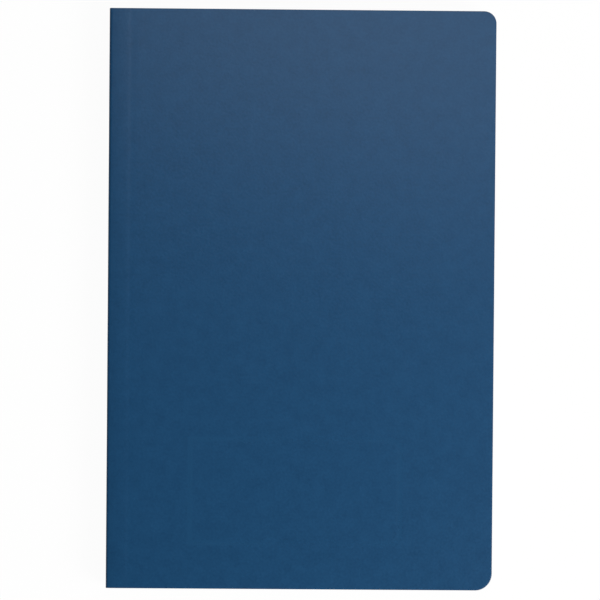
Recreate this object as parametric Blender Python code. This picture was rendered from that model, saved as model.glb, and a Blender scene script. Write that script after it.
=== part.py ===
# Softcover notebook: folded and sewn sections of leaves in one wrap-around soft cover.
# It lies on its back cover, closed: spine at -X, fore-edge at +X, head at +Y, front cover up.
# All lengths are in metres.

import math

import bmesh
import bpy
from mathutils import Matrix, Vector

# Trimmed size, and the corners cut on the fore-edge
WIDTH = 0.140
HEIGHT = 0.210
CORNER_RADIUS = 0.0048

# Cover skin: its bends round the spine, the hinge crease beside it and its softened rim
COVER_THICKNESS = 0.0006
SPINE_BEND_RADIUS = 0.0015
SPINE_BEND_LEG = 0.0012
CREASE_SETBACK = 0.0077
CREASE_WIDTH = 0.0003
CREASE_ROUNDING = 0.00025
RIM_ROUNDING = 0.00015

# Blank frame pressed into the front cover, placed by its left and lower edges
FRAME_WIDTH = 0.0765
FRAME_HEIGHT = 0.0386
FRAME_FROM_SPINE = 0.0301
FRAME_FROM_TAIL = 0.0159
FRAME_LINE_WIDTH = 0.0008
FRAME_DEPTH = 0.0001
FRAME_CORNER_RADIUS = 0.0045

# Leaves and endpapers, set in a little from the cover's edges
LEAF_THICKNESS = 0.00011
LEAVES_PER_SECTION = 8
SECTIONS_EACH_SIDE = 4
ENDPAPER_THICKNESS = 0.00015
LEAF_SETBACK = 0.0003
SHEET_GAP = 0.00008

# Sewing: stations along the spine, the thread and the lining glued over it
STATION_COUNT = 5
STATION_FROM_END = 0.022
THREAD_RADIUS = 0.00015
THREAD_CLEARANCE = 0.00005
STITCH_DIP = 0.0001
LINING_THICKNESS = 0.00025
LINING_SETBACK = 0.004
SPINE_GLUE_GAP = 0.0001

# Hinge lines: how far they stand off the skin that bends round them
OPENING_CLEARANCE = 0.00015
BACK_HINGE_DROP = 0.00006
FOLD_CLEARANCE = 0.00006

# Fineness of the round forms
CORNER_SEGMENTS = 10
BEND_SEGMENTS = 8
FOLD_SEGMENTS = 8
ROUNDING_SEGMENTS = 2
THREAD_SIDES_RESOLUTION = 1
STITCH_POINTS_PER_SECTION = 8
SMOOTH_ANGLE = math.radians(35)

# Where the pieces lie across the thickness, worked out from the sheets
SECTION_THICKNESS = LEAF_THICKNESS * LEAVES_PER_SECTION
SECTION_PITCH = SECTION_THICKNESS + SHEET_GAP
PASTEDOWN_TOP = COVER_THICKNESS + SHEET_GAP + ENDPAPER_THICKNESS
FLYLEAF_TOP = PASTEDOWN_TOP + SHEET_GAP + ENDPAPER_THICKNESS
BLOCK_BOTTOM = FLYLEAF_TOP + SHEET_GAP
HALF_THICKNESS = BLOCK_BOTTOM + (SECTIONS_EACH_SIDE + 0.5) * SECTION_PITCH
THICKNESS = 2 * HALF_THICKNESS

# Where they lie from spine to fore-edge and from tail to head
SPINE_FACE = -WIDTH / 2
FORE_EDGE = WIDTH / 2
HEAD = HEIGHT / 2
LEAF_FORE_EDGE = FORE_EDGE - LEAF_SETBACK
LEAF_HEAD = HEAD - LEAF_SETBACK
LEAF_CORNER_RADIUS = CORNER_RADIUS - LEAF_SETBACK
CREASE = SPINE_FACE + CREASE_SETBACK
LINING_OUTER = SPINE_FACE + COVER_THICKNESS + SPINE_GLUE_GAP
LINING_INNER = LINING_OUTER + LINING_THICKNESS
THREAD_LINE = LINING_INNER + THREAD_CLEARANCE + THREAD_RADIUS
SECTION_BACK = THREAD_LINE + THREAD_RADIUS + THREAD_CLEARANCE

# Hinge lines, all parallel to the spine. The front one stands off further, so that with the notebook
# open at its centre a front cover folded under lies below a back cover folded under.
OPENING_AXIS = Vector((SPINE_FACE - OPENING_CLEARANCE, 0, HALF_THICKNESS))
BACK_HINGE_AXIS = Vector((CREASE, 0, -BACK_HINGE_DROP))
FRONT_HINGE_RISE = BACK_HINGE_DROP + PASTEDOWN_TOP / 2 + FOLD_CLEARANCE
FRONT_HINGE_AXIS = Vector((CREASE, 0, THICKNESS + FRONT_HINGE_RISE))


def clear_scene():
    for item in list(bpy.data.objects):
        bpy.data.objects.remove(item, do_unlink=True)


def make_material(name, colour, roughness):
    material = bpy.data.materials.new(name)
    material.use_nodes = True
    shader = material.node_tree.nodes["Principled BSDF"]
    shader.inputs["Base Color"].default_value = (*colour, 1)
    shader.inputs["Roughness"].default_value = roughness
    shader.inputs["Metallic"].default_value = 0
    return material


def make_axis(name, position, parent=None):
    """An empty on a hinge line, which carries the pieces that turn about it."""
    axis = bpy.data.objects.new(name, None)
    bpy.context.collection.objects.link(axis)
    axis.parent = parent
    axis.location = position - (parent.location if parent else Vector())
    return axis


def place(piece, material, axis=None, axis_position=Vector()):
    """Gives a piece its finish and hangs it on its hinge line, leaving it where it was drawn."""
    bpy.context.collection.objects.link(piece)
    piece.data.materials.append(material)
    piece.parent = axis
    piece.location = -axis_position
    return piece


def finish_mesh(name, bm):
    bmesh.ops.recalc_face_normals(bm, faces=bm.faces)
    mesh = bpy.data.meshes.new(name)
    bm.to_mesh(mesh)
    bm.free()
    mesh.shade_smooth()
    mesh.set_sharp_from_angle(angle=SMOOTH_ANGLE)
    return bpy.data.objects.new(name, mesh)


def arc(centre_x, centre_z, radius, start, end, segments):
    """Points (x, z) along an arc, angles in degrees from +X towards +Z."""
    points = []
    for step in range(segments + 1):
        angle = math.radians(start + (end - start) * step / segments)
        points.append((centre_x + radius * math.cos(angle), centre_z + radius * math.sin(angle)))
    return points


def extrude_profile(profile, half_length):
    """A solid with one outline in X and Z all the way from the tail to the head."""
    bm = bmesh.new()
    face = bm.faces.new([bm.verts.new((x, -half_length, z)) for x, z in profile])
    sweep = bmesh.ops.extrude_face_region(bm, geom=[face])
    moved = [item for item in sweep["geom"] if isinstance(item, bmesh.types.BMVert)]
    bmesh.ops.translate(bm, verts=moved, vec=(0, 2 * half_length, 0))
    return bm


def bevel_edges(bm, edges, width, segments):
    bmesh.ops.bevel(
        bm,
        geom=edges,
        offset=width,
        offset_type="OFFSET",
        segments=segments,
        profile=0.5,
        affect="EDGES",
        clamp_overlap=True,
        material=-1,
    )


def is_upright(edge):
    direction = edge.verts[1].co - edge.verts[0].co
    return abs(direction.z) > abs(direction.x) and abs(direction.z) > abs(direction.y)


def round_fore_edge(bm, fore_edge, radius):
    """Rounds the two corners that stand at the fore-edge."""
    tolerance = LEAF_SETBACK / 10
    corners = []
    for edge in bm.edges:
        at_fore_edge = all(abs(vertex.co.x - fore_edge) < tolerance for vertex in edge.verts)
        if at_fore_edge and is_upright(edge):
            corners.append(edge)
    bevel_edges(bm, corners, radius, CORNER_SEGMENTS)


def mirror_top_to_bottom(bm):
    """Turns a piece of the front into the matching piece of the back."""
    flip = Matrix.Translation((0, 0, THICKNESS)) @ Matrix.Diagonal((1, 1, -1, 1))
    bmesh.ops.transform(bm, matrix=flip, verts=bm.verts)


def make_cover_panel():
    """The front panel: its crease side and its outer rim are softened, its fore-edge corners round."""
    left = CREASE + CREASE_WIDTH / 2
    bottom = THICKNESS - COVER_THICKNESS
    profile = [(left, bottom), (FORE_EDGE, bottom), (FORE_EDGE, THICKNESS), (left, THICKNESS)]
    bm = extrude_profile(profile, HEAD)
    round_fore_edge(bm, FORE_EDGE, CORNER_RADIUS)
    tolerance = COVER_THICKNESS / 10
    crease_edges = []
    rim_edges = []
    for edge in bm.edges:
        if any(THICKNESS - vertex.co.z > tolerance for vertex in edge.verts):
            continue
        at_crease = all(vertex.co.x - left < tolerance for vertex in edge.verts)
        if at_crease:
            crease_edges.append(edge)
        else:
            rim_edges.append(edge)
    bevel_edges(bm, rim_edges, RIM_ROUNDING, ROUNDING_SEGMENTS)
    crease_edges = [edge for edge in crease_edges if edge.is_valid]
    bevel_edges(bm, crease_edges, CREASE_ROUNDING, ROUNDING_SEGMENTS)
    return bm


def make_hinge_strip():
    """The glued strip beside the spine with the upper bend of the spine, as one bent sheet."""
    right = CREASE - CREASE_WIDTH / 2
    bend_x = SPINE_FACE + SPINE_BEND_RADIUS
    bend_z = THICKNESS - SPINE_BEND_RADIUS
    leg_end = bend_z - SPINE_BEND_LEG
    inner_radius = SPINE_BEND_RADIUS - COVER_THICKNESS
    round_x = right - CREASE_ROUNDING
    round_z = THICKNESS - CREASE_ROUNDING
    profile = [(SPINE_FACE, leg_end)]
    profile += arc(bend_x, bend_z, SPINE_BEND_RADIUS, 180, 90, BEND_SEGMENTS)
    profile += arc(round_x, round_z, CREASE_ROUNDING, 90, 0, ROUNDING_SEGMENTS)
    profile += [(right, THICKNESS - COVER_THICKNESS)]
    profile += arc(bend_x, bend_z, inner_radius, 90, 180, BEND_SEGMENTS)
    profile += [(SPINE_FACE + COVER_THICKNESS, leg_end)]
    return extrude_profile(profile, HEAD)


def make_cover_spine():
    """The middle of the spine, between the two bends."""
    top = THICKNESS - SPINE_BEND_RADIUS - SPINE_BEND_LEG - SHEET_GAP
    bottom = THICKNESS - top
    right = SPINE_FACE + COVER_THICKNESS
    profile = [(SPINE_FACE, bottom), (right, bottom), (right, top), (SPINE_FACE, top)]
    return extrude_profile(profile, HEAD)


def make_sheet(left, bottom, thickness):
    """One flat sheet, cut like the leaves."""
    top = bottom + thickness
    profile = [(left, bottom), (LEAF_FORE_EDGE, bottom), (LEAF_FORE_EDGE, top), (left, top)]
    bm = extrude_profile(profile, LEAF_HEAD)
    round_fore_edge(bm, LEAF_FORE_EDGE, LEAF_CORNER_RADIUS)
    return bm


def make_section(bottom):
    """A whole section: its leaves are one folded stack, so its back is a half round."""
    radius = SECTION_THICKNESS / 2
    fold_x = SECTION_BACK + radius
    profile = arc(fold_x, bottom + radius, radius, 90, 270, FOLD_SEGMENTS)
    profile += [(LEAF_FORE_EDGE, bottom), (LEAF_FORE_EDGE, bottom + SECTION_THICKNESS)]
    bm = extrude_profile(profile, LEAF_HEAD)
    round_fore_edge(bm, LEAF_FORE_EDGE, LEAF_CORNER_RADIUS)
    return bm


def make_front_half_section():
    """The upper half of the centre section, cut back at the fold to leave room for the thread."""
    radius = SECTION_THICKNESS / 2
    bottom = HALF_THICKNESS + SHEET_GAP / 2
    top = bottom + radius
    groove = min(THREAD_RADIUS + 2 * THREAD_CLEARANCE, radius * 0.8)
    fold_x = SECTION_BACK + radius
    groove_end = math.degrees(math.asin(groove / radius))
    profile = arc(fold_x, bottom, radius, 90, 180 - groove_end, FOLD_SEGMENTS)
    profile += [(fold_x, bottom), (LEAF_FORE_EDGE, bottom), (LEAF_FORE_EDGE, top)]
    bm = extrude_profile(profile, LEAF_HEAD)
    round_fore_edge(bm, LEAF_FORE_EDGE, LEAF_CORNER_RADIUS)
    return bm


def make_lining():
    """The flexible strip glued over the backs of the sections, along the flat of the spine."""
    bottom = SPINE_BEND_RADIUS
    top = THICKNESS - bottom
    profile = [(LINING_OUTER, bottom), (LINING_INNER, bottom), (LINING_INNER, top), (LINING_OUTER, top)]
    return extrude_profile(profile, HEAD - LINING_SETBACK)


def make_thread(name, points):
    """A round thread through the points given."""
    curve = bpy.data.curves.new(name, "CURVE")
    curve.dimensions = "3D"
    curve.bevel_depth = THREAD_RADIUS
    curve.bevel_resolution = THREAD_SIDES_RESOLUTION
    curve.use_fill_caps = True
    spline = curve.splines.new("POLY")
    spline.points.add(len(points) - 1)
    for point, position in zip(spline.points, points):
        point.co = (*position, 1)
    return bpy.data.objects.new(name, curve)


def link_stitch_points(station, side):
    """Runs over the section backs from the centre half outwards, dipping between them; side is +1 or -1."""
    first = SHEET_GAP / 2 + SECTION_THICKNESS / 4
    last = SECTIONS_EACH_SIDE * SECTION_PITCH
    steps = SECTIONS_EACH_SIDE * STITCH_POINTS_PER_SECTION
    points = []
    for step in range(steps + 1):
        height = first + (last - first) * step / steps
        dip = STITCH_DIP * (1 - math.cos(2 * math.pi * height / SECTION_PITCH)) / 2
        points.append((THREAD_LINE + dip, station, HALF_THICKNESS + side * height))
    return points


def frame_outline(inset):
    """The frame's outline, drawn in by the inset: square corners by the spine, round ones by the fore-edge."""
    left = SPINE_FACE + FRAME_FROM_SPINE + inset
    right = SPINE_FACE + FRAME_FROM_SPINE + FRAME_WIDTH - inset
    low = -HEAD + FRAME_FROM_TAIL + inset
    high = -HEAD + FRAME_FROM_TAIL + FRAME_HEIGHT - inset
    radius = FRAME_CORNER_RADIUS - inset
    outline = [(left, high), (left, low)]
    outline += arc(right - radius, low + radius, radius, -90, 0, CORNER_SEGMENTS)
    outline += arc(right - radius, high - radius, radius, 0, 90, CORNER_SEGMENTS)
    return outline


def press_frame(panel):
    """Presses the blank frame into the front panel with a ring-shaped die."""
    die = bmesh.new()
    loops = []
    for inset in (0, FRAME_LINE_WIDTH):
        vertices = [die.verts.new((x, y, THICKNESS - FRAME_DEPTH)) for x, y in frame_outline(inset)]
        for first, second in zip(vertices, vertices[1:] + vertices[:1]):
            loops.append(die.edges.new((first, second)))
    ring = bmesh.ops.bridge_loops(die, edges=loops)
    sweep = bmesh.ops.extrude_face_region(die, geom=ring["faces"])
    moved = [item for item in sweep["geom"] if isinstance(item, bmesh.types.BMVert)]
    bmesh.ops.translate(die, verts=moved, vec=(0, 0, 3 * FRAME_DEPTH))
    cutter = finish_mesh("frame_die", die)
    bpy.context.collection.objects.link(cutter)
    cutter.hide_render = True
    cutter.display_type = "WIRE"
    press = panel.modifiers.new("pressed_frame", "BOOLEAN")
    press.operation = "DIFFERENCE"
    press.solver = "EXACT"
    press.object = cutter


clear_scene()

soft_cover = make_material("matt_blue_cover_card", (0.0232, 0.0723, 0.1500), 0.55)
endpaper = make_material("cream_endpaper", (0.776, 0.730, 0.624), 0.85)
paper = make_material("cream_book_paper", (0.830, 0.791, 0.686), 0.90)
thread = make_material("waxed_sewing_thread", (0.791, 0.768, 0.701), 0.70)
lining = make_material("spine_lining_crepe", (0.680, 0.651, 0.584), 0.90)

upper_axis = make_axis("centre_opening_axis", OPENING_AXIS)
front_axis = make_axis("front_cover_axis", FRONT_HINGE_AXIS, upper_axis)
back_axis = make_axis("back_cover_axis", BACK_HINGE_AXIS)
upper = {"axis": upper_axis, "axis_position": OPENING_AXIS}
front = {"axis": front_axis, "axis_position": FRONT_HINGE_AXIS}
back = {"axis": back_axis, "axis_position": BACK_HINGE_AXIS}
lower = {}

# Cover, from the front panel round the spine to the back panel
panel = place(finish_mesh("front_cover", make_cover_panel()), soft_cover, **front)
press_frame(panel)
place(finish_mesh("front_hinge_strip", make_hinge_strip()), soft_cover, **upper)
place(finish_mesh("cover_spine", make_cover_spine()), soft_cover, **lower)
for name, shape, carrier in (
    ("back_hinge_strip", make_hinge_strip(), lower),
    ("back_cover", make_cover_panel(), back),
):
    mirror_top_to_bottom(shape)
    place(finish_mesh(name, shape), soft_cover, **carrier)

# Endpapers: a pastedown on each cover panel and a free leaf that covers the block
pastedown_left = CREASE + CREASE_WIDTH
flyleaf_left = SECTION_BACK + SECTION_THICKNESS / 2
for name, left, top, carrier in (
    ("back_pastedown", pastedown_left, PASTEDOWN_TOP, back),
    ("back_flyleaf", flyleaf_left, FLYLEAF_TOP, lower),
):
    place(finish_mesh(name, make_sheet(left, top - ENDPAPER_THICKNESS, ENDPAPER_THICKNESS)), endpaper, **carrier)
for name, left, depth, carrier in (
    ("front_pastedown", pastedown_left, PASTEDOWN_TOP, front),
    ("front_flyleaf", flyleaf_left, FLYLEAF_TOP, upper),
):
    place(finish_mesh(name, make_sheet(left, THICKNESS - depth, ENDPAPER_THICKNESS)), endpaper, **carrier)

# Sections, numbered from the front; the centre one parts at its fold
centre_number = SECTIONS_EACH_SIDE + 1
for number in range(1, 2 * SECTIONS_EACH_SIDE + 2):
    if number == centre_number:
        continue
    section_bottom = HALF_THICKNESS + (centre_number - number) * SECTION_PITCH - SECTION_THICKNESS / 2
    carrier = upper if number < centre_number else lower
    place(finish_mesh(f"section_{number}", make_section(section_bottom)), paper, **carrier)
place(finish_mesh(f"section_{centre_number}_front_leaves", make_front_half_section()), paper, **upper)
back_half = make_front_half_section()
mirror_top_to_bottom(back_half)
place(finish_mesh(f"section_{centre_number}_back_leaves", back_half), paper, **lower)

# Sewing: the thread in the centre fold, the stitches over the backs, and the lining
station_span = HEIGHT - 2 * STATION_FROM_END
stations = []
for index in range(STATION_COUNT):
    stations.append(-station_span / 2 + station_span * index / (STATION_COUNT - 1))
centre_run = [(SECTION_BACK, y, HALF_THICKNESS) for y in stations]
place(make_thread("centre_thread", centre_run), thread, **lower)
for index, station in enumerate(stations, start=1):
    upper_run = link_stitch_points(station, 1)
    lower_run = link_stitch_points(station, -1)
    place(make_thread(f"upper_link_stitch_{index}", upper_run), thread, **upper)
    place(make_thread(f"lower_link_stitch_{index}", lower_run), thread, **lower)
place(finish_mesh("spine_lining", make_lining()), lining, **lower)
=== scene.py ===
"""Softcover notebook, dressed for the studio.

It lies closed on its back cover, spine at -X, head at +Y, and is put together here in the order a
bindery does it: folded sections, sewing, spine lining, endpapers, cover, and last the table, lamps
and camera.
"""

import math
import random

import bmesh
import bpy
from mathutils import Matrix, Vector, noise


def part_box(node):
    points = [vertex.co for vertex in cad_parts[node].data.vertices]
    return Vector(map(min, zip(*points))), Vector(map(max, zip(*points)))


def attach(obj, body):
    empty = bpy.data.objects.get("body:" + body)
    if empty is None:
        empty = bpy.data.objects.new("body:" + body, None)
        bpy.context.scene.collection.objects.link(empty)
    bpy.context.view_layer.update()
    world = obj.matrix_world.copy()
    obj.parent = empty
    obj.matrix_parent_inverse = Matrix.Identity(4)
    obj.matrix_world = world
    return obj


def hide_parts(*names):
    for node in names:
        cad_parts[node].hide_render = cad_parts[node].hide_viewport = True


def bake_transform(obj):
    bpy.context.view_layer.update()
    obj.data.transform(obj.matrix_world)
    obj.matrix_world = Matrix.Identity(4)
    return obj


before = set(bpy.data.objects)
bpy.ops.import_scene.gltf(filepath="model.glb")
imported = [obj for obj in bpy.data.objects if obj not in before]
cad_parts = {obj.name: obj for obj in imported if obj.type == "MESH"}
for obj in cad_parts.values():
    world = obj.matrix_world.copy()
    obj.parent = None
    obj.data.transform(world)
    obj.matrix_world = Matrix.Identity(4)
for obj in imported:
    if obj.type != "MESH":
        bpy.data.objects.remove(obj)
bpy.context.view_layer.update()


# Sections of the text block
# Each is four sheets of ivory writing paper, nested and folded once into eight leaves. The nine
# sections are sewn, pressed and then trimmed together on three sides, so the trimmed edges are one
# flat face of fine lines, with a darker line where one section meets the next.

mm = 0.001
CENTRE_SECTION = 5
SHEETS_IN_SECTION = 4
LEAF_PITCH = 0.11 * mm
LEAF_THICKNESS = 0.103 * mm
FOLD_STEPS = 8
SECTION_BACK = -69.02 * mm
CENTRE_BACK = -69.62 * mm
LEAF_SETBACK = 0.3 * mm
HEAD_CORNER = 4.5 * mm
TAIL_CORNER = 6.1 * mm
LEAF_CORNER_STEPS = 8
TRIM_WANDER = 0.01 * mm
RULING_PITCH = 7 * mm
RULING_WIDTH = 0.25 * mm
HEAD_MARGIN_FROM = 88 * mm
FIBRE_SIZE = 0.6 * mm
CLOUD_SIZE = 9 * mm
FACING_UP = 0.7
IVORY = "#f1ead8"
IVORY_FLECK = "#ece4d0"
# Painted shade between the leaves, which the trimmed edges take in fine lines
LEAF_GAP_SHADE = "#d3c6a8"
EDGE_LINES = 0.7 * mm
LEAF_LINES = 0.15 * mm
LEAF_LINE_SHARE = 0.35
RULING_GREY = "#c9c8c4"

# Points closer than this are taken as the same when they are chosen, and when they are merged
SAME_PLACE = 0.001 * mm
WELD = 0.0001 * mm
SHARP_DEGREES = 50

# Lines across a leaf where it may bend, close together near the fold
LEAF_ROWS = [
    row * mm
    for row in (-68.2, -67.2, -66, -64.5, -63, -61, -59, -57, -55, -53, -51, -49, -47, -45, -30, 10)
]

# The sections beside the opening are baked in place rather than attached to a block; in the real
# notebook they lift a little with their neighbours, less the deeper they lie
LIFT_REACH = {1: 260 * mm, 2: 420 * mm}

trim = random.Random(7)


def linear(colour):
    """An sRGB hex colour as the linear values that a shader takes."""
    parts = [int(colour[i : i + 2], 16) / 255 for i in (1, 3, 5)]
    return [p / 12.92 if p <= 0.04045 else ((p + 0.055) / 1.055) ** 2.4 for p in parts] + [1]


def add_node(tree, kind, inputs=None, **settings):
    """Adds a node with its settings; an input is a value, or a socket to link from."""
    node = tree.nodes.new(kind)
    for name, value in settings.items():
        setattr(node, name, value)
    for name, value in (inputs or {}).items():
        if isinstance(value, bpy.types.NodeSocket):
            tree.links.new(value, node.inputs[name])
        else:
            node.inputs[name].default_value = value
    return node


def new_material(name):
    """An empty node material and the socket that its surface goes into."""
    material = bpy.data.materials.new(name)
    material.use_nodes = True
    tree = material.node_tree
    tree.nodes.clear()
    output = tree.nodes.new("ShaderNodeOutputMaterial")
    return material, tree, output


def extrude_along(bm, edges, offset):
    """Draws a row of edges out by an offset and returns the new edges and vertices."""
    made = bmesh.ops.extrude_edge_only(bm, edges=edges)["geom"]
    new_verts = [g for g in made if isinstance(g, bmesh.types.BMVert)]
    bmesh.ops.translate(bm, verts=new_verts, vec=offset)
    return [g for g in made if isinstance(g, bmesh.types.BMEdge)], new_verts


def draw_line(bm, vert, points):
    """Carries a line of edges on from a vertex through X-Z points."""
    for x, z in points:
        made = bmesh.ops.extrude_vert_indiv(bm, verts=[vert])["verts"]
        made[0].co.x, made[0].co.z = x, z
        vert = made[0]
    return vert


def finish_piece(name, bm, material):
    """Turns a finished bmesh into a smooth-shaded object whose flat faces stay flat."""
    bmesh.ops.remove_doubles(bm, verts=bm.verts[:], dist=WELD)
    mesh = bpy.data.meshes.new(name)
    bm.to_mesh(mesh)
    bm.free()
    mesh.materials.append(material)
    mesh.polygons.foreach_set("use_smooth", [True] * len(mesh.polygons))
    piece = bpy.data.objects.new(name, mesh)
    bpy.context.scene.collection.objects.link(piece)
    weighted = piece.modifiers.new("even shading", "WEIGHTED_NORMAL")
    weighted.weight = 100
    weighted.keep_sharp = True
    return piece


def mark_corners_sharp(bm):
    """Keeps the shading of faces that meet at a sharp angle apart."""
    for edge in bm.edges:
        edge.smooth = edge.calc_face_angle(0) < math.radians(SHARP_DEGREES)


def thicken(bm, faces, thickness, outward):
    """Gives a sheet its thickness behind its outer side, which faces the way outward says."""
    bmesh.ops.recalc_face_normals(bm, faces=faces)
    widest = max(faces, key=lambda face: face.calc_area())
    if widest.normal.dot(outward(widest.calc_center_median())) < 0:
        bmesh.ops.reverse_faces(bm, faces=faces)
    bmesh.ops.solidify(bm, geom=faces, thickness=thickness)


def cut_corners(bm, fore_edge, setback, steps):
    """Rounds the fore-edge corners of a sheet, which lies a setback inside the cover's edge."""
    for radius, end in ((HEAD_CORNER, 1), (TAIL_CORNER, -1)):
        corners = [v for v in bm.verts if v.co.x > fore_edge - SAME_PLACE and v.co.y * end > 0]
        bmesh.ops.bevel(
            bm,
            geom=[v for v in corners if len(v.link_faces) == 1 and len(v.link_edges) == 2],
            offset=radius - setback,
            affect="VERTICES",
            segments=steps,
            profile=0.5,
            material=-1,
        )


def folded_sheet(bm, order, low, high):
    """One folded sheet of a section, between its low and high corners; order 0 is the innermost."""
    sheet = bmesh.new()
    middle = (low.z + high.z) / 2
    radius = (order + 0.5) * LEAF_PITCH + LEAF_THICKNESS / 2
    fold_x = SECTION_BACK + SHEETS_IN_SECTION * LEAF_PITCH
    fore_edge = high.x + trim.uniform(-1, 1) * TRIM_WANDER
    tail = low.y + trim.uniform(-1, 1) * TRIM_WANDER
    head = high.y + trim.uniform(-1, 1) * TRIM_WANDER
    start = bmesh.ops.create_vert(sheet, co=(fold_x, tail, middle - radius))["vert"]
    spun = bmesh.ops.spin(
        sheet,
        geom=start,
        cent=(fold_x, tail, middle),
        axis=(0, 1, 0),
        angle=math.pi,
        steps=FOLD_STEPS,
    )["geom_last"]
    end = next(g for g in spun if isinstance(g, bmesh.types.BMVert))
    for vert, z in ((start[0], middle - radius), (end, middle + radius)):
        draw_line(sheet, vert, [(row, z) for row in LEAF_ROWS + [fore_edge]])
    extrude_along(sheet, sheet.edges[:], (0, head - tail, 0))
    cut_corners(sheet, fore_edge, LEAF_SETBACK, LEAF_CORNER_STEPS)
    thicken(sheet, sheet.faces[:], LEAF_THICKNESS, lambda p: Vector((0, 0, p.z - middle)))
    mark_corners_sharp(sheet)
    copy_into(bm, sheet)


def copy_into(bm, part):
    """Adds one bmesh to another."""
    mesh = bpy.data.meshes.new("part")
    part.to_mesh(mesh)
    part.free()
    bm.from_mesh(mesh)
    bpy.data.meshes.remove(mesh)


def paint_leaf_shade(bm):
    """Gives each leaf a slight painted shade of its own, which the trimmed edges show as fine lines."""
    mark = bm.verts.layers.float.new("painted_leaf_shade")
    for vert in bm.verts:
        band = noise.noise(Vector((0, 0, vert.co.z / EDGE_LINES)))
        line = noise.noise(Vector((0, 0, vert.co.z / LEAF_LINES)))
        vert[mark] = 0.5 + band + LEAF_LINE_SHARE * line


# Wood-free writing paper, machine-made and uncoated: matt, faintly mottled by its fibres, with pale
# grey ruling on the page faces only. The trimmed edges are painted a little darker, in fine lines,
# as painted shade between the leaves; the real lines are one leaf apart, too fine to show from a
# step away, so broader bands of painted shade lie under them.
book_paper, tree, output = new_material("wood-free writing paper")
place = add_node(tree, "ShaderNodeTexCoord")
fibres = add_node(
    tree,
    "ShaderNodeTexNoise",
    {"Vector": place.outputs["Object"], "Scale": 1 / FIBRE_SIZE, "Detail": 4, "Roughness": 0.6},
)
clouds = add_node(
    tree,
    "ShaderNodeTexNoise",
    {"Vector": place.outputs["Object"], "Scale": 1 / CLOUD_SIZE, "Detail": 3},
)
mottle = add_node(
    tree,
    "ShaderNodeMix",
    {"Factor": 0.5, 2: fibres.outputs["Fac"], 3: clouds.outputs["Fac"]},
)
tone = add_node(
    tree,
    "ShaderNodeMapRange",
    {"Value": mottle.outputs[0], "From Min": 0.3, "From Max": 0.7},
)
paper_colour = add_node(
    tree,
    "ShaderNodeMix",
    {"Factor": tone.outputs["Result"], 6: linear(IVORY), 7: linear(IVORY_FLECK)},
    data_type="RGBA",
)
across = add_node(tree, "ShaderNodeSeparateXYZ", {"Vector": place.outputs["Object"]})
line_place = add_node(
    tree, "ShaderNodeMath", {0: across.outputs["Y"], 1: RULING_PITCH / 2}, operation="PINGPONG"
)
line = add_node(
    tree,
    "ShaderNodeMath",
    {0: line_place.outputs["Value"], 1: RULING_WIDTH / 2},
    operation="LESS_THAN",
)
facing = add_node(tree, "ShaderNodeNewGeometry")
upright = add_node(tree, "ShaderNodeSeparateXYZ", {"Vector": facing.outputs["Normal"]})
flatness = add_node(tree, "ShaderNodeMath", {0: upright.outputs["Z"]}, operation="ABSOLUTE")
on_page = add_node(
    tree, "ShaderNodeMath", {0: flatness.outputs["Value"], 1: FACING_UP}, operation="GREATER_THAN"
)
below_margin = add_node(
    tree, "ShaderNodeMath", {0: across.outputs["Y"], 1: HEAD_MARGIN_FROM}, operation="LESS_THAN"
)
ruled = add_node(
    tree,
    "ShaderNodeMath",
    {0: line.outputs["Value"], 1: below_margin.outputs["Value"]},
    operation="MULTIPLY",
)
ruling = add_node(
    tree,
    "ShaderNodeMath",
    {0: ruled.outputs["Value"], 1: on_page.outputs["Value"]},
    operation="MULTIPLY",
)
# Painted shade: the trimmed edges are darkened in fine lines, as the shade between the leaves
painted_leaf_shade = add_node(tree, "ShaderNodeAttribute", attribute_name="painted_leaf_shade")
edge_colour = add_node(
    tree,
    "ShaderNodeMix",
    {"Factor": painted_leaf_shade.outputs["Fac"], 6: linear(IVORY), 7: linear(LEAF_GAP_SHADE)},
    data_type="RGBA",
)
sheet_colour = add_node(
    tree,
    "ShaderNodeMix",
    {
        "Factor": on_page.outputs["Value"],
        6: edge_colour.outputs[2],
        7: paper_colour.outputs[2],
    },
    data_type="RGBA",
)
page_colour = add_node(
    tree,
    "ShaderNodeMix",
    {
        "Factor": ruling.outputs["Value"],
        6: sheet_colour.outputs[2],
        7: linear(RULING_GREY),
    },
    data_type="RGBA",
)
relief = add_node(
    tree,
    "ShaderNodeBump",
    {"Height": fibres.outputs["Fac"], "Strength": 0.25, "Distance": 0.03 * mm},
)
paper = add_node(
    tree,
    "ShaderNodeBsdfPrincipled",
    {
        "Base Color": page_colour.outputs[2],
        "Roughness": 0.85,
        "IOR": 1.5,
        "Specular IOR Level": 0.25,
        "Normal": relief.outputs["Normal"],
    },
)
tree.links.new(paper.outputs["BSDF"], output.inputs["Surface"])

MIDDLE = (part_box("section_5_back_leaves")[0].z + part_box("section_5_front_leaves")[1].z) / 2

for number in (1, 2, 3, 4, 6, 7, 8, 9):
    depth = abs(number - CENTRE_SECTION)
    node = f"section_{number}"
    low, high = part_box(node)
    leaves = bmesh.new()
    for order in range(SHEETS_IN_SECTION):
        folded_sheet(leaves, order, low, high)
    paint_leaf_shade(leaves)
    section = finish_piece(f"section_{number}_folded_sheets", leaves, book_paper)
    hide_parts(node)
    body, other = "upper_block", "lower_block"
    if number > CENTRE_SECTION:
        body, other = other, body
    if depth in LIFT_REACH:
        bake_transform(section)
    else:
        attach(section, body)


# Centre section
# Its four sheets part at their fold when the notebook is opened in the middle, so the leaves above
# and below the fold are two pieces, which in the real notebook arch softly out of the gutter. The
# fold of the innermost sheet is a third piece, which wraps the thread and lies between them.

OUTER_LEAF_START = -68.95 * mm
NECK_START = -69.35 * mm
NECK_END = -69.05 * mm
NECK_HALF_WIDTH = 0.21 * mm
FOLD_HALF_WIDTH = 0.26 * mm
FOLD_STRIP_STEPS = 10

# The innermost fold stops short of head and tail, where the spine board is whole
FOLD_NICK = 1.2 * mm
NICK_BEHIND = -69.2 * mm

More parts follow.
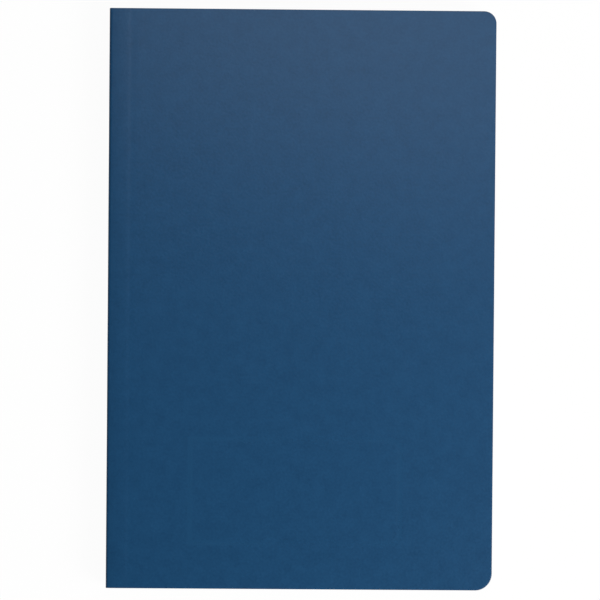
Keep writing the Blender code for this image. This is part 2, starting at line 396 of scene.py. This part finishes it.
for node, body, other, side in (
    ("section_5_front_leaves", "upper_block", "lower_block", 1),
    ("section_5_back_leaves", "lower_block", "upper_block", -1),
):
    low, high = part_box(node)
    leaves = bmesh.new()
    for order in range(SHEETS_IN_SECTION):
        leaf = bmesh.new()
        z = MIDDLE + side * ((order + 0.5) * LEAF_PITCH + LEAF_THICKNESS / 2)
        fore_edge = high.x + trim.uniform(-1, 1) * TRIM_WANDER
        if order == 0:
            line = [
                (CENTRE_BACK, MIDDLE + side * FOLD_HALF_WIDTH),
                (NECK_START, MIDDLE + side * NECK_HALF_WIDTH),
                (NECK_END, z),
            ]
        else:
            line = [(OUTER_LEAF_START, z)]
        line += [(row, z) for row in LEAF_ROWS + [fore_edge]]
        first = bmesh.ops.create_vert(leaf, co=(line[0][0], low.y, line[0][1]))["vert"][0]
        draw_line(leaf, first, line[1:])
        extrude_along(leaf, leaf.edges[:], (0, high.y - low.y, 0))
        for vert in leaf.verts:
            if vert.co.x < NICK_BEHIND:
                vert.co.y = max(low.y + FOLD_NICK, min(high.y - FOLD_NICK, vert.co.y))
        cut_corners(leaf, fore_edge, LEAF_SETBACK, LEAF_CORNER_STEPS)
        thicken(leaf, leaf.faces[:], LEAF_THICKNESS, lambda p: Vector((0, 0, side)))
        mark_corners_sharp(leaf)
        copy_into(leaves, leaf)
    paint_leaf_shade(leaves)
    half = finish_piece(f"{node}_sheets", leaves, book_paper)
    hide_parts(node)
    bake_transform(half)

fold = bmesh.new()
low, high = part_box("section_5_back_leaves")
tail = low.y + FOLD_NICK
start = bmesh.ops.create_vert(fold, co=(CENTRE_BACK, tail, MIDDLE - FOLD_HALF_WIDTH))["vert"]
bmesh.ops.spin(
    fold,
    geom=start,
    cent=(CENTRE_BACK, tail, MIDDLE),
    axis=(0, 1, 0),
    angle=math.pi,
    steps=FOLD_STRIP_STEPS,
)
extrude_along(fold, fold.edges[:], (0, high.y - FOLD_NICK - tail, 0))
thicken(fold, fold.faces[:], LEAF_THICKNESS, lambda p: Vector((-1, 0, p.z - MIDDLE)))
mark_corners_sharp(fold)
paint_leaf_shade(fold)
centre_fold = finish_piece("centre_fold", fold, book_paper)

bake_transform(centre_fold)


# Sewing
# Waxed linen thread, two plies twisted together. It runs along the inside of the centre fold and
# passes out through it at five stations, where short link stitches tie each section to the next.

THREAD_RADIUS = 0.14 * mm
THREAD_TWIST = 1.131 * mm
THREAD_COLOUR = "#e4ddca"
THREAD_PAINTED_SHADE = "#b9ae93"
THREAD_LINE = CENTRE_BACK
STATIONS = [station * mm for station in (-83, -41.5, 0, 41.5, 83)]

# How the thread dips into a station: millimetres along the fold, and out of it
STATION_DIP = [(-2.2, 0), (-1.1, -0.03), (-0.35, -0.16), (0, -0.22), (0.35, -0.16), (1.1, -0.03), (2.2, 0)]

# Linen thread, spun and drawn through wax: cream with a slight shine, and slanting bands of painted
# shade where its plies turn into each other. A diagonal wave repeats at a tenth of a full turn in
# scaled units.
sewing_thread, tree, output = new_material("waxed linen thread")
place = add_node(tree, "ShaderNodeTexCoord")
plies = add_node(
    tree,
    "ShaderNodeTexWave",
    {
        "Vector": place.outputs["Object"],
        "Scale": math.tau / 10 / THREAD_TWIST,
        "Distortion": 0.6,
    },
    wave_type="BANDS",
    bands_direction="DIAGONAL",
)
# Painted shade in the grooves between the plies
ply_colour = add_node(
    tree,
    "ShaderNodeMix",
    {"Factor": plies.outputs["Fac"], 6: linear(THREAD_PAINTED_SHADE), 7: linear(THREAD_COLOUR)},
    data_type="RGBA",
)
relief = add_node(
    tree,
    "ShaderNodeBump",
    {"Height": plies.outputs["Fac"], "Strength": 0.6, "Distance": 0.05 * mm},
)
linen = add_node(
    tree,
    "ShaderNodeBsdfPrincipled",
    {
        "Base Color": ply_colour.outputs[2],
        "Roughness": 0.55,
        "Normal": relief.outputs["Normal"],
    },
)
tree.links.new(linen.outputs["BSDF"], output.inputs["Surface"])

run = bpy.data.curves.new("centre run", "CURVE")
run.dimensions = "3D"
run.bevel_depth = THREAD_RADIUS
run.bevel_resolution = 3
run.use_fill_caps = True
path = []
for station in STATIONS:
    path += [(THREAD_LINE + out * mm, station + along * mm) for along, out in STATION_DIP]
spline = run.splines.new("POLY")
spline.points.add(len(path) - 1)
for point, (x, y) in zip(spline.points, path):
    point.co = (x, y, MIDDLE, 1)
drawn = bpy.data.objects.new("centre run", run)
bpy.context.scene.collection.objects.link(drawn)
bpy.context.view_layer.update()
thread = bmesh.new()
thread.from_mesh(drawn.to_mesh())
drawn.to_mesh_clear()
bpy.data.objects.remove(drawn)
bpy.data.curves.remove(run)
bmesh.ops.remove_doubles(thread, verts=thread.verts[:], dist=WELD)
bmesh.ops.recalc_face_normals(thread, faces=thread.faces[:])
centre_thread = finish_piece("centre_thread_run", thread, sewing_thread)
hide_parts("centre_thread")
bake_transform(centre_thread)

for name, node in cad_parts.items():
    if "link_stitch" in name:
        for stitch_slot in node.material_slots:
            stitch_slot.material = sewing_thread


# Spine lining
# A strip of crepe paper glued over the backs of the sections. It holds them side by side, and is
# slit along the middle, so that the notebook opens flat at its centre.

LINING_THICKNESS = 0.25 * mm
LINING_SLIT = 0.36 * mm
CREPE_WRINKLE = 0.7 * mm
CREPE_WRINKLE_LENGTH = 5 * mm
CREPE_BUFF = "#d7d3c9"
CREPE_HOLLOW_PAINTED_SHADE = "#b9b0a0"

# Crepe paper soaked with glue: buff and matt, with short wrinkles that run round the spine, so that
# it can give a little as the spine bends. The hollows of the wrinkles are painted darker as shade.
crepe, tree, output = new_material("crepe lining paper")
place = add_node(tree, "ShaderNodeTexCoord")
stretch = add_node(
    tree,
    "ShaderNodeMapping",
    {
        "Vector": place.outputs["Object"],
        "Scale": (1 / CREPE_WRINKLE_LENGTH, 1 / CREPE_WRINKLE, 1 / CREPE_WRINKLE_LENGTH),
    },
)
wrinkles = add_node(
    tree,
    "ShaderNodeTexNoise",
    {"Vector": stretch.outputs["Vector"], "Scale": 1, "Detail": 2, "Roughness": 0.6},
)
tone = add_node(
    tree,
    "ShaderNodeMapRange",
    {"Value": wrinkles.outputs["Fac"], "From Min": 0.35, "From Max": 0.65},
)
# Painted shade: the wrinkles are painted darker where they dip
crepe_colour = add_node(
    tree,
    "ShaderNodeMix",
    {"Factor": tone.outputs["Result"], 6: linear(CREPE_HOLLOW_PAINTED_SHADE), 7: linear(CREPE_BUFF)},
    data_type="RGBA",
)
relief = add_node(
    tree,
    "ShaderNodeBump",
    {"Height": wrinkles.outputs["Fac"], "Strength": 0.6, "Distance": 0.15 * mm},
)
glued_crepe = add_node(
    tree,
    "ShaderNodeBsdfPrincipled",
    {
        "Base Color": crepe_colour.outputs[2],
        "Roughness": 0.8,
        "Specular IOR Level": 0.3,
        "Normal": relief.outputs["Normal"],
    },
)
tree.links.new(glued_crepe.outputs["BSDF"], output.inputs["Surface"])

low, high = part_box("spine_lining")
lining = bmesh.new()
for bottom, top in ((low.z, MIDDLE - LINING_SLIT), (MIDDLE + LINING_SLIT, high.z)):
    start = bmesh.ops.create_vert(lining, co=(low.x, low.y, bottom))["vert"][0]
    draw_line(lining, start, [(low.x, top)])
extrude_along(lining, lining.edges[:], (0, high.y - low.y, 0))
thicken(lining, lining.faces[:], LINING_THICKNESS, lambda p: Vector((-1, 0, 0)))
spine_lining = finish_piece("crepe_lining", lining, crepe)
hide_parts("spine_lining")
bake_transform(spine_lining)


# Endpapers
# One folded sheet of heavier ivory paper at each end. One half is pasted down inside the cover and
# goes on across the crease to the spine, and the other is the free flyleaf on top of the sections.

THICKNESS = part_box("front_cover")[1].z
SPINE_FACE = -70 * mm
ENDPAPER_THICKNESS = 0.15 * mm
PASTEDOWN_TOP = THICKNESS - 0.68 * mm
FLYLEAF_TOP = THICKNESS - 0.91 * mm
FOLD_FROM_SPINE = 3 * mm
FOLD_GAP = 0.02 * mm
ENDPAPER_FOLD_STEPS = 6
PULP_SIZE = 0.8 * mm
ENDPAPER_TONE = "#f3eddd"
ENDPAPER_FLECK = "#eae2ce"

# How far from the spine a cover bends when it turns back on its crease, and the rows that let it
FRONT_BEND = (6.7 * mm, 9.7 * mm)
BACK_BEND = (7.1 * mm, 8.9 * mm)
BEND_ROWS = [6.7 * mm + step * 0.15 * mm for step in range(21)]

# Heavy uncoated paper, pressed smooth between felts: matt, warmer than the pages and unruled, with a
# soft fibre mottle.
endpaper, tree, output = new_material("uncoated endpaper stock")
place = add_node(tree, "ShaderNodeTexCoord")
pulp = add_node(
    tree,
    "ShaderNodeTexNoise",
    {"Vector": place.outputs["Object"], "Scale": 1 / PULP_SIZE, "Detail": 5, "Roughness": 0.65},
)
tone = add_node(
    tree,
    "ShaderNodeMapRange",
    {"Value": pulp.outputs["Fac"], "From Min": 0.3, "From Max": 0.7},
)
pulp_colour = add_node(
    tree,
    "ShaderNodeMix",
    {"Factor": tone.outputs["Result"], 6: linear(ENDPAPER_TONE), 7: linear(ENDPAPER_FLECK)},
    data_type="RGBA",
)
relief = add_node(
    tree,
    "ShaderNodeBump",
    {"Height": pulp.outputs["Fac"], "Strength": 0.3, "Distance": 0.04 * mm},
)
stock = add_node(
    tree,
    "ShaderNodeBsdfPrincipled",
    {
        "Base Color": pulp_colour.outputs[2],
        "Roughness": 0.85,
        "Specular IOR Level": 0.25,
        "Normal": relief.outputs["Normal"],
    },
)
tree.links.new(stock.outputs["BSDF"], output.inputs["Surface"])


def draw_pastedown(sheet, low, high):
    """The glued half by its upper face, with rows across it where the cover bends."""
    left = SPINE_FACE + FOLD_FROM_SPINE + FOLD_GAP
    start = bmesh.ops.create_vert(sheet, co=(left, low.y, PASTEDOWN_TOP))["vert"][0]
    rows = [(SPINE_FACE + row, PASTEDOWN_TOP) for row in BEND_ROWS]
    draw_line(sheet, start, rows + [(high.x, PASTEDOWN_TOP)])
    return Vector((0, 0, 1))


def draw_flyleaf(sheet, low, high):
    """The free half by its lower face, with the fold that joins it to the pastedown."""
    left = SPINE_FACE + FOLD_FROM_SPINE
    bottom = FLYLEAF_TOP - ENDPAPER_THICKNESS
    start = bmesh.ops.create_vert(sheet, co=(left, low.y, bottom))["vert"]
    bmesh.ops.spin(
        sheet,
        geom=start,
        cent=(left, low.y, (bottom + PASTEDOWN_TOP) / 2),
        axis=(0, 1, 0),
        angle=math.pi,
        steps=ENDPAPER_FOLD_STEPS,
    )
    draw_line(sheet, start[0], [(high.x, bottom)])
    return Vector((0, 0, -1))


def turn_over(bm):
    """Makes a piece of the front into its twin at the back."""
    bmesh.ops.scale(bm, vec=(1, 1, -1), verts=bm.verts[:])
    bmesh.ops.translate(bm, vec=(0, 0, THICKNESS), verts=bm.verts[:])
    bmesh.ops.reverse_faces(bm, faces=bm.faces[:])


def endpaper_half(name, node, draw, upside_down):
    """One half of an endpaper, drawn by its outer face, then trimmed and given its thickness."""
    low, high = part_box(node)
    sheet = bmesh.new()
    outward = draw(sheet, low, high)
    extrude_along(sheet, sheet.edges[:], (0, high.y - low.y, 0))
    cut_corners(sheet, high.x, LEAF_SETBACK, LEAF_CORNER_STEPS)
    thicken(sheet, sheet.faces[:], ENDPAPER_THICKNESS, lambda p: outward)
    mark_corners_sharp(sheet)
    if upside_down:
        turn_over(sheet)
    piece = finish_piece(name, sheet, endpaper)
    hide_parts(node)
    return piece


for side, body, cover_body, bend in (
    ("front", "upper_block", "front_cover_panel", FRONT_BEND),
    ("back", "lower_block", "back_cover_panel", BACK_BEND),
):
    upside_down = side == "back"
    pastedown = endpaper_half(
        f"{side}_pastedown_sheet", f"{side}_pastedown", draw_pastedown, upside_down
    )
    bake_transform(pastedown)
    flyleaf = endpaper_half(f"{side}_flyleaf_sheet", f"{side}_flyleaf", draw_flyleaf, upside_down)
    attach(flyleaf, body)


# Cover
# One wrap-around skin of card under a matt, fine-grained blue covering, glued down beside the spine
# and free beyond the crease. It is made as three stretches that meet edge to edge: the front with a
# blank frame pressed into it, the spine, and the back. Its spine shoulders are softly rounded.

COVER_THICKNESS = 0.6 * mm
BLUE_DEEP = "#083c61"
BLUE_PALE = "#12466d"
BLUE_BURNISHED = "#10446a"
# Painted shade on the spine shoulder: how dark the covering is painted at the spine edge
SHOULDER_PAINTED_SHADE = 0.93
GRAIN_SIZE = 0.9 * mm
BLOTCH_SIZE = 5 * mm
CORNER_STEPS = 16
RIM_DEGREES = 60
RIM_RADIUS = 0.15 * mm
RIM_STEPS = 3

# The height at which the front stretch ends on the spine, and the spine stretch meets it
LEG_END = 8.15 * mm

# Spine edge: a bend a little short of square, which ends BEND_END from the spine, and beyond it a
# shoulder that starts at the slope where the bend stops and runs out level
BEND_RADIUS = 0.9673 * mm
BEND_DEGREES = 87.2
BEND_STEPS = 8
BEND_END = 0.92 * mm
SHOULDER_END = 7.0 * mm
SHOULDER_DROP = 0.149 * mm
SHOULDER_CURVE = 2
SHOULDER_ROWS = [
    row * mm for row in (1.2, 1.5, 1.8, 2.2, 2.5, 2.9, 3.3, 3.7, 4.1, 4.5, 4.9, 5.3, 5.7, 6.1, 6.4)
]

# Crease, which is steeper towards the spine
CREASE_FROM_SPINE = 7.95 * mm
CREASE_DEPTH = 0.025 * mm
CREASE_SPREADS = (0.75 * mm, 1.4 * mm)
ROWS_BEYOND_BEND = [row * mm for row in (10.1, 10.5, 11, 11.5, 12)]
PANEL_START = 12.5 * mm
PANEL_MARGIN = 0.6 * mm

# Blank frame: its line, the rings that line is drawn in, and how deep the die bit along it
FRAME_LEFT, FRAME_RIGHT = -39.7 * mm, 36.2 * mm
FRAME_LOW, FRAME_HIGH = -88.3 * mm, -50.7 * mm
FRAME_CORNER = 4.1 * mm
FRAME_CORNER_STEPS = 12
FRAME_DEPTH = 0.014 * mm
FRAME_STEPS = [step * mm for step in (0.2, 0.2, 0.2, 0.2, 0.3, 0.3, 0.3, 0.3, 0.2, 0.2, 0.2, 0.2)]
FRAME_SPREAD = sum(FRAME_STEPS) / 2
FRAME_FAINTEST = 6 * mm
BITE_FROM, BITE_TO = 8 * mm, 38 * mm
BITE_LEAST, BITE_MOST = 0.1, 0.9

# Card laminated in blue and embossed by a roller: a matt, slightly mottled blue with a broad soft
# sheen. The real grain is about 0.3 mm, too fine to show, so it is drawn at GRAIN_SIZE. The frame
# is pressed cold, which only burnishes it, and the die bit deepest at the frame's two ends.
leatherette, tree, output = new_material("matt leatherette over card")
place = add_node(tree, "ShaderNodeTexCoord")
grain = add_node(
    tree,
    "ShaderNodeTexNoise",
    {"Vector": place.outputs["Object"], "Scale": 1 / GRAIN_SIZE, "Detail": 2},
)
pebbles = add_node(
    tree,
    "ShaderNodeTexVoronoi",
    {"Vector": place.outputs["Object"], "Scale": 1 / GRAIN_SIZE},
    feature="SMOOTH_F1",
)
blotches = add_node(
    tree,
    "ShaderNodeTexNoise",
    {"Vector": place.outputs["Object"], "Scale": 1 / BLOTCH_SIZE, "Detail": 3, "Roughness": 0.65},
)
blue_mix = add_node(
    tree, "ShaderNodeMix", {"Factor": 0.5, 2: grain.outputs["Fac"], 3: blotches.outputs["Fac"]}
)
tone = add_node(
    tree,
    "ShaderNodeMapRange",
    {"Value": blue_mix.outputs[0], "From Min": 0.3, "From Max": 0.7},
)
blue_colour = add_node(
    tree,
    "ShaderNodeMix",
    {"Factor": tone.outputs["Result"], 6: linear(BLUE_DEEP), 7: linear(BLUE_PALE)},
    data_type="RGBA",
)
pressed = add_node(tree, "ShaderNodeAttribute", attribute_name="pressed")
axes = add_node(tree, "ShaderNodeSeparateXYZ", {"Vector": place.outputs["Object"]})
from_middle = add_node(
    tree, "ShaderNodeMath", {0: axes.outputs["X"], 1: FRAME_FAINTEST}, operation="SUBTRACT"
)
towards_end = add_node(
    tree, "ShaderNodeMath", {0: from_middle.outputs["Value"]}, operation="ABSOLUTE"
)
bite = add_node(
    tree,
    "ShaderNodeMapRange",
    {
        "Value": towards_end.outputs["Value"],
        "From Min": BITE_FROM,
        "From Max": BITE_TO,
        "To Min": BITE_LEAST,
        "To Max": BITE_MOST,
    },
)
burnish = add_node(
    tree,
    "ShaderNodeMath",
    {0: pressed.outputs["Fac"], 1: bite.outputs["Result"]},
    operation="MULTIPLY",
)
cover_colour = add_node(
    tree,
    "ShaderNodeMix",
    {"Factor": burnish.outputs["Value"], 6: blue_colour.outputs[2], 7: linear(BLUE_BURNISHED)},
    data_type="RGBA",
)
# Painted shade: the covering is painted darker towards the spine, as its sloping shoulder is shaded
painted_shoulder_shade = add_node(tree, "ShaderNodeAttribute", attribute_name="painted_shoulder_shade")
shaded_colour = add_node(
    tree,
    "ShaderNodeMix",
    {
        "Factor": painted_shoulder_shade.outputs["Fac"],
        6: cover_colour.outputs[2],
        7: [SHOULDER_PAINTED_SHADE] * 3 + [1],
    },
    data_type="RGBA",
    blend_type="MULTIPLY",
)
fine_relief = add_node(
    tree,
    "ShaderNodeBump",
    {"Height": grain.outputs["Fac"], "Strength": 0.3, "Distance": 0.05 * mm},
)
relief = add_node(
    tree,
    "ShaderNodeBump",
    {
        "Height": pebbles.outputs["Distance"],
        "Strength": 0.25,
        "Distance": 0.05 * mm,
        "Normal": fine_relief.outputs["Normal"],
    },
)
skin = add_node(
    tree,
    "ShaderNodeBsdfPrincipled",
    {
        "Base Color": shaded_colour.outputs[2],
        "Roughness": 0.31,
        "IOR": 1.5,
        "Specular IOR Level": 0.3,
        "Normal": relief.outputs["Normal"],
    },
)
tree.links.new(skin.outputs["BSDF"], output.inputs["Surface"])


def mark_painted_shoulder_shade(bm):
    """Marks painted shade on the covering, darker towards the spine, where the shoulder slopes away."""
    mark = bm.verts.layers.float.new("painted_shoulder_shade")
    for vert in bm.verts:
        share = (SHOULDER_END - (vert.co.x - SPINE_FACE)) / (SHOULDER_END - BEND_END)
        vert[mark] = min(max(share, 0), 1)


def shoulder(along):
    """Height lost by the cover's outer face near the spine, at a distance along from it."""
    if along >= SHOULDER_END:
        return 0
    return SHOULDER_DROP * ((SHOULDER_END - along) / (SHOULDER_END - BEND_END)) ** SHOULDER_CURVE


def crease(along):
    """Depth of the pressed hinge crease at a distance along from the spine."""
    away = along - CREASE_FROM_SPINE
    spread = CREASE_SPREADS[0] if away < 0 else CREASE_SPREADS[1]
    return CREASE_DEPTH * math.exp(-((away / spread) ** 2))


def inset(bm, face, margin):
    """Draws a face in from all its edges, and leaves a flat margin round it."""
    bmesh.ops.inset_region(
        bm, faces=[face], thickness=margin, use_boundary=True, use_even_offset=True
    )


def press_blank_frame(bm):
    """Sinks a soft line into the panel: a frame, square on the left and rounded on the right."""
    width = FRAME_RIGHT - FRAME_LEFT + 2 * FRAME_SPREAD
    height = FRAME_HIGH - FRAME_LOW + 2 * FRAME_SPREAD
    centre = Vector(((FRAME_LEFT + FRAME_RIGHT) / 2, (FRAME_LOW + FRAME_HIGH) / 2, THICKNESS))
    corners = bmesh.ops.create_grid(bm, x_segments=1, y_segments=1, size=0.5)["verts"]
    bmesh.ops.scale(bm, vec=(width, height, 1), verts=corners)
    bmesh.ops.translate(bm, vec=centre, verts=corners)
    left = [v for v in corners if v.co.x < centre.x]
    bmesh.ops.bevel(
        bm,
        geom=[v for v in corners if v.co.x > centre.x],
        offset=FRAME_CORNER + FRAME_SPREAD,
        affect="VERTICES",
        segments=FRAME_CORNER_STEPS,
        profile=0.5,
        material=-1,
    )
    field = left[0].link_faces[0]
    mark = bm.verts.layers.float.new("pressed")
    away = -FRAME_SPREAD
    for step in FRAME_STEPS:
        inset(bm, field, step)
        away += step
        share = 0.5 + 0.5 * math.cos(math.pi * away / FRAME_SPREAD)
        for vert in field.verts:
            vert.co.z = THICKNESS - FRAME_DEPTH * share
            vert[mark] = min(1, 2 * share)


def soften_rims(bm, rims):
    """Rounds the cut edges of the cover a little."""
    bmesh.ops.bevel(
        bm,
        geom=rims,
        offset=RIM_RADIUS,
        affect="EDGES",
        segments=RIM_STEPS,
        profile=0.5,
        material=-1,
        clamp_overlap=True,
    )


def cover_side(pressed):
    """The front stretch of the cover, from the spine round the shoulder to the fore-edge."""
    low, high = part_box("front_cover")
    bm = bmesh.new()
    bend_height = THICKNESS - SHOULDER_DROP - BEND_RADIUS * math.sin(math.radians(BEND_DEGREES))
    start = bmesh.ops.create_vert(bm, co=(SPINE_FACE, low.y, LEG_END))["vert"][0]
    bend_start = draw_line(bm, start, [(SPINE_FACE, bend_height)])
    spun = bmesh.ops.spin(
        bm,
        geom=[bend_start],
        cent=(SPINE_FACE + BEND_RADIUS, low.y, bend_height),
        axis=(0, 1, 0),
        angle=math.radians(BEND_DEGREES),
        steps=BEND_STEPS,
    )["geom_last"]
    bend_end = next(g for g in spun if isinstance(g, bmesh.types.BMVert))
    rows = SHOULDER_ROWS + BEND_ROWS + ROWS_BEYOND_BEND
    line = [(SPINE_FACE + row, THICKNESS - shoulder(row) - crease(row)) for row in rows]
    panel_start = SPINE_FACE + PANEL_START
    draw_line(bm, bend_end, line + [(panel_start, THICKNESS)])
    extrude_along(bm, bm.edges[:], (0, high.y - low.y, 0))
    last = [e for e in bm.edges if all(v.co.x > panel_start - SAME_PLACE for v in e.verts)]
    extrude_along(bm, last, (high.x - panel_start, 0, 0))
    cut_corners(bm, high.x, 0, CORNER_STEPS)
    panel = max(bm.faces, key=lambda face: face.calc_area())
    inset(bm, panel, PANEL_MARGIN)
    if pressed:
        rim = panel.edges[:]
        around = set(bm.edges)
        bmesh.ops.delete(bm, geom=[panel], context="FACES_ONLY")
        press_blank_frame(bm)
        outline = [edge for edge in bm.edges if edge.is_boundary and edge not in around]
        bmesh.ops.triangle_fill(bm, edges=rim + outline, use_beauty=True, normal=(0, 0, 1))
    thicken(bm, bm.faces[:], COVER_THICKNESS, lambda p: Vector((0, 0, 1)))

    # Crease and frame are pressed in from outside, so the inner side stays flat
    for vert in bm.verts:
        inside = vert.co.z < THICKNESS - COVER_THICKNESS / 2
        if inside and vert.co.x - SPINE_FACE > SHOULDER_END:
            vert.co.z = THICKNESS - COVER_THICKNESS
    rims = [
        e
        for e in bm.edges
        if e.calc_face_angle(0) > math.radians(RIM_DEGREES)
        and max(v.co.z for v in e.verts) > LEG_END + SAME_PLACE
    ]
    soften_rims(bm, rims)
    mark_corners_sharp(bm)
    mark_painted_shoulder_shade(bm)
    return bm


for side, body, bend in (("front", "upper_block", FRONT_BEND), ("back", "lower_block", BACK_BEND)):
    cover = cover_side(pressed=side == "front")
    if side == "back":
        turn_over(cover)
    piece = finish_piece(f"{side}_cover_skin", cover, leatherette)
    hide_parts(f"{side}_cover", f"{side}_hinge_strip")
    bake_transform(piece)


# The spine board is thinned from inside to a web, the score, along which it folds when the notebook
# is opened at its centre. The score stops short of head and tail, so that the ends stay whole.
SCORE_HALF = 0.30 * mm
SCORE_WEB = 0.1 * mm
SCORE_WALL = 0.06 * mm
SCORE_ROWS = 4
SCORE_STOP = 1 * mm
ROW_BESIDE_SCORE = 1.2 * mm

low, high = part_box("cover_spine")
spine = bmesh.new()
rows = [LEG_END - MIDDLE, ROW_BESIDE_SCORE, SCORE_HALF + SCORE_WALL]
rows += [SCORE_HALF * row / SCORE_ROWS for row in range(SCORE_ROWS, 0, -1)]
heights = [MIDDLE - row for row in rows] + [MIDDLE] + [MIDDLE + row for row in reversed(rows)]
start = bmesh.ops.create_vert(spine, co=(SPINE_FACE, low.y, heights[0]))["vert"][0]
draw_line(spine, start, [(SPINE_FACE, height) for height in heights[1:]])
extrude_along(spine, spine.edges[:], (0, high.y - low.y, 0))
thicken(spine, spine.faces[:], COVER_THICKNESS, lambda p: Vector((-1, 0, 0)))
rims = [
    e
    for e in spine.edges
    if abs(sum(v.co.y for v in e.verts)) > 2 * (high.y - SAME_PLACE)
    and abs(e.verts[0].co.x - e.verts[1].co.x) < SAME_PLACE
]
soften_rims(spine, rims)
for stop in (low.y + SCORE_STOP, high.y - SCORE_STOP):
    bmesh.ops.bisect_plane(
        spine,
        geom=spine.verts[:] + spine.edges[:] + spine.faces[:],
        plane_co=(0, stop, 0),
        plane_no=(0, 1, 0),
    )
for vert in spine.verts:
    in_score = abs(vert.co.z - MIDDLE) < SCORE_HALF + SAME_PLACE
    between_stops = abs(vert.co.y) < high.y - SCORE_STOP + SAME_PLACE
    if in_score and between_stops and vert.co.x > SPINE_FACE + SAME_PLACE:
        vert.co.x = SPINE_FACE + SCORE_WEB
mark_corners_sharp(spine)
mark_painted_shoulder_shade(spine)
cover_spine = finish_piece("cover_spine_skin", spine, leatherette)
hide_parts("cover_spine")
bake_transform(cover_spine)


# Table, lamps and camera
# A white table that reads as a plain white ground and keeps only the notebook's soft shadow, lit by
# a large soft lamp from the upper right, a smaller one behind it for the sheen, and a dim room.

TABLE_HEIGHT = -2.3 * mm
TABLE_HALF = 3
TABLE_PEBBLE = 3 * mm
TABLE_WHITE = "#f4f4f4"
TABLE_GLOW = 0.96
ROOM_LIGHT = 0.2

# Matt white laminate: even, with a faint pebble, and as bright as the photograph's ground where the
# camera sees it.
table_finish, tree, output = new_material("white matt table")
place = add_node(tree, "ShaderNodeTexCoord")
speckle = add_node(
    tree,
    "ShaderNodeTexNoise",
    {"Vector": place.outputs["Object"], "Scale": 1 / TABLE_PEBBLE, "Detail": 2},
)
table_relief = add_node(
    tree,
    "ShaderNodeBump",
    {"Height": speckle.outputs["Fac"], "Strength": 0.05, "Distance": 0.02 * mm},
)
matt = add_node(
    tree,
    "ShaderNodeBsdfDiffuse",
    {"Color": linear(TABLE_WHITE), "Normal": table_relief.outputs["Normal"]},
)
glow = add_node(tree, "ShaderNodeEmission", {"Color": (1, 1, 1, 1), "Strength": 1.0})
rays = add_node(tree, "ShaderNodeLightPath")
seen = add_node(
    tree,
    "ShaderNodeMath",
    {0: rays.outputs["Is Camera Ray"], 1: TABLE_GLOW},
    operation="MULTIPLY",
)
ground = add_node(
    tree,
    "ShaderNodeMixShader",
    {0: seen.outputs["Value"], 1: matt.outputs["BSDF"], 2: glow.outputs["Emission"]},
)
tree.links.new(ground.outputs["Shader"], output.inputs["Surface"])

top = bmesh.new()
bmesh.ops.create_grid(top, x_segments=4, y_segments=4, size=TABLE_HALF)
bmesh.ops.translate(top, vec=(0, 0, TABLE_HEIGHT), verts=top.verts[:])
mesh = bpy.data.meshes.new("table_top")
top.to_mesh(mesh)
top.free()
mesh.materials.append(table_finish)
table_top = bpy.data.objects.new("table_top", mesh)
bpy.context.scene.collection.objects.link(table_top)


def soft_lamp(name, place, size, watts):
    """A square soft lamp, turned to face the notebook."""
    data = bpy.data.lights.new(name, "AREA")
    data.shape = "SQUARE"
    data.size = size
    data.energy = watts
    lamp = bpy.data.objects.new(name, data)
    lamp.location = place
    lamp.rotation_euler = (-Vector(place)).to_track_quat("-Z", "Y").to_euler()
    bpy.context.scene.collection.objects.link(lamp)


soft_lamp("key lamp", place=(0.642, -0.35, 0.733), size=0.5, watts=10)
soft_lamp("sheen lamp", place=(0.06, 0.227, 0.529), size=0.345, watts=0.76)

room = bpy.data.worlds.new("dim room")
room.use_nodes = True
tree = room.node_tree
tree.nodes.clear()
output = tree.nodes.new("ShaderNodeOutputWorld")
rays = add_node(tree, "ShaderNodeLightPath")
level = add_node(
    tree,
    "ShaderNodeMapRange",
    {"Value": rays.outputs["Is Camera Ray"], "To Min": ROOM_LIGHT, "To Max": 1.0},
)
walls = add_node(
    tree, "ShaderNodeBackground", {"Color": (1, 1, 1, 1), "Strength": level.outputs["Result"]}
)
tree.links.new(walls.outputs["Background"], output.inputs["Surface"])
bpy.context.scene.world = room
bpy.context.scene.view_settings.view_transform = "Standard"

# The camera stands above the notebook, a little left of it and turned by half a degree
eye = bpy.data.cameras.new("camera")
eye.type = "PERSP"
eye.sensor_width = 36
eye.lens = 197.047
eye.clip_start = 0.1
eye.clip_end = 10
camera = bpy.data.objects.new("camera", eye)
camera.location = (-0.016763, 0.016149, 1.2)
camera.rotation_euler = [math.radians(a) for a in (-0.78801, -0.78331, 0.45708)]
bpy.context.scene.collection.objects.link(camera)
bpy.context.scene.camera = camera
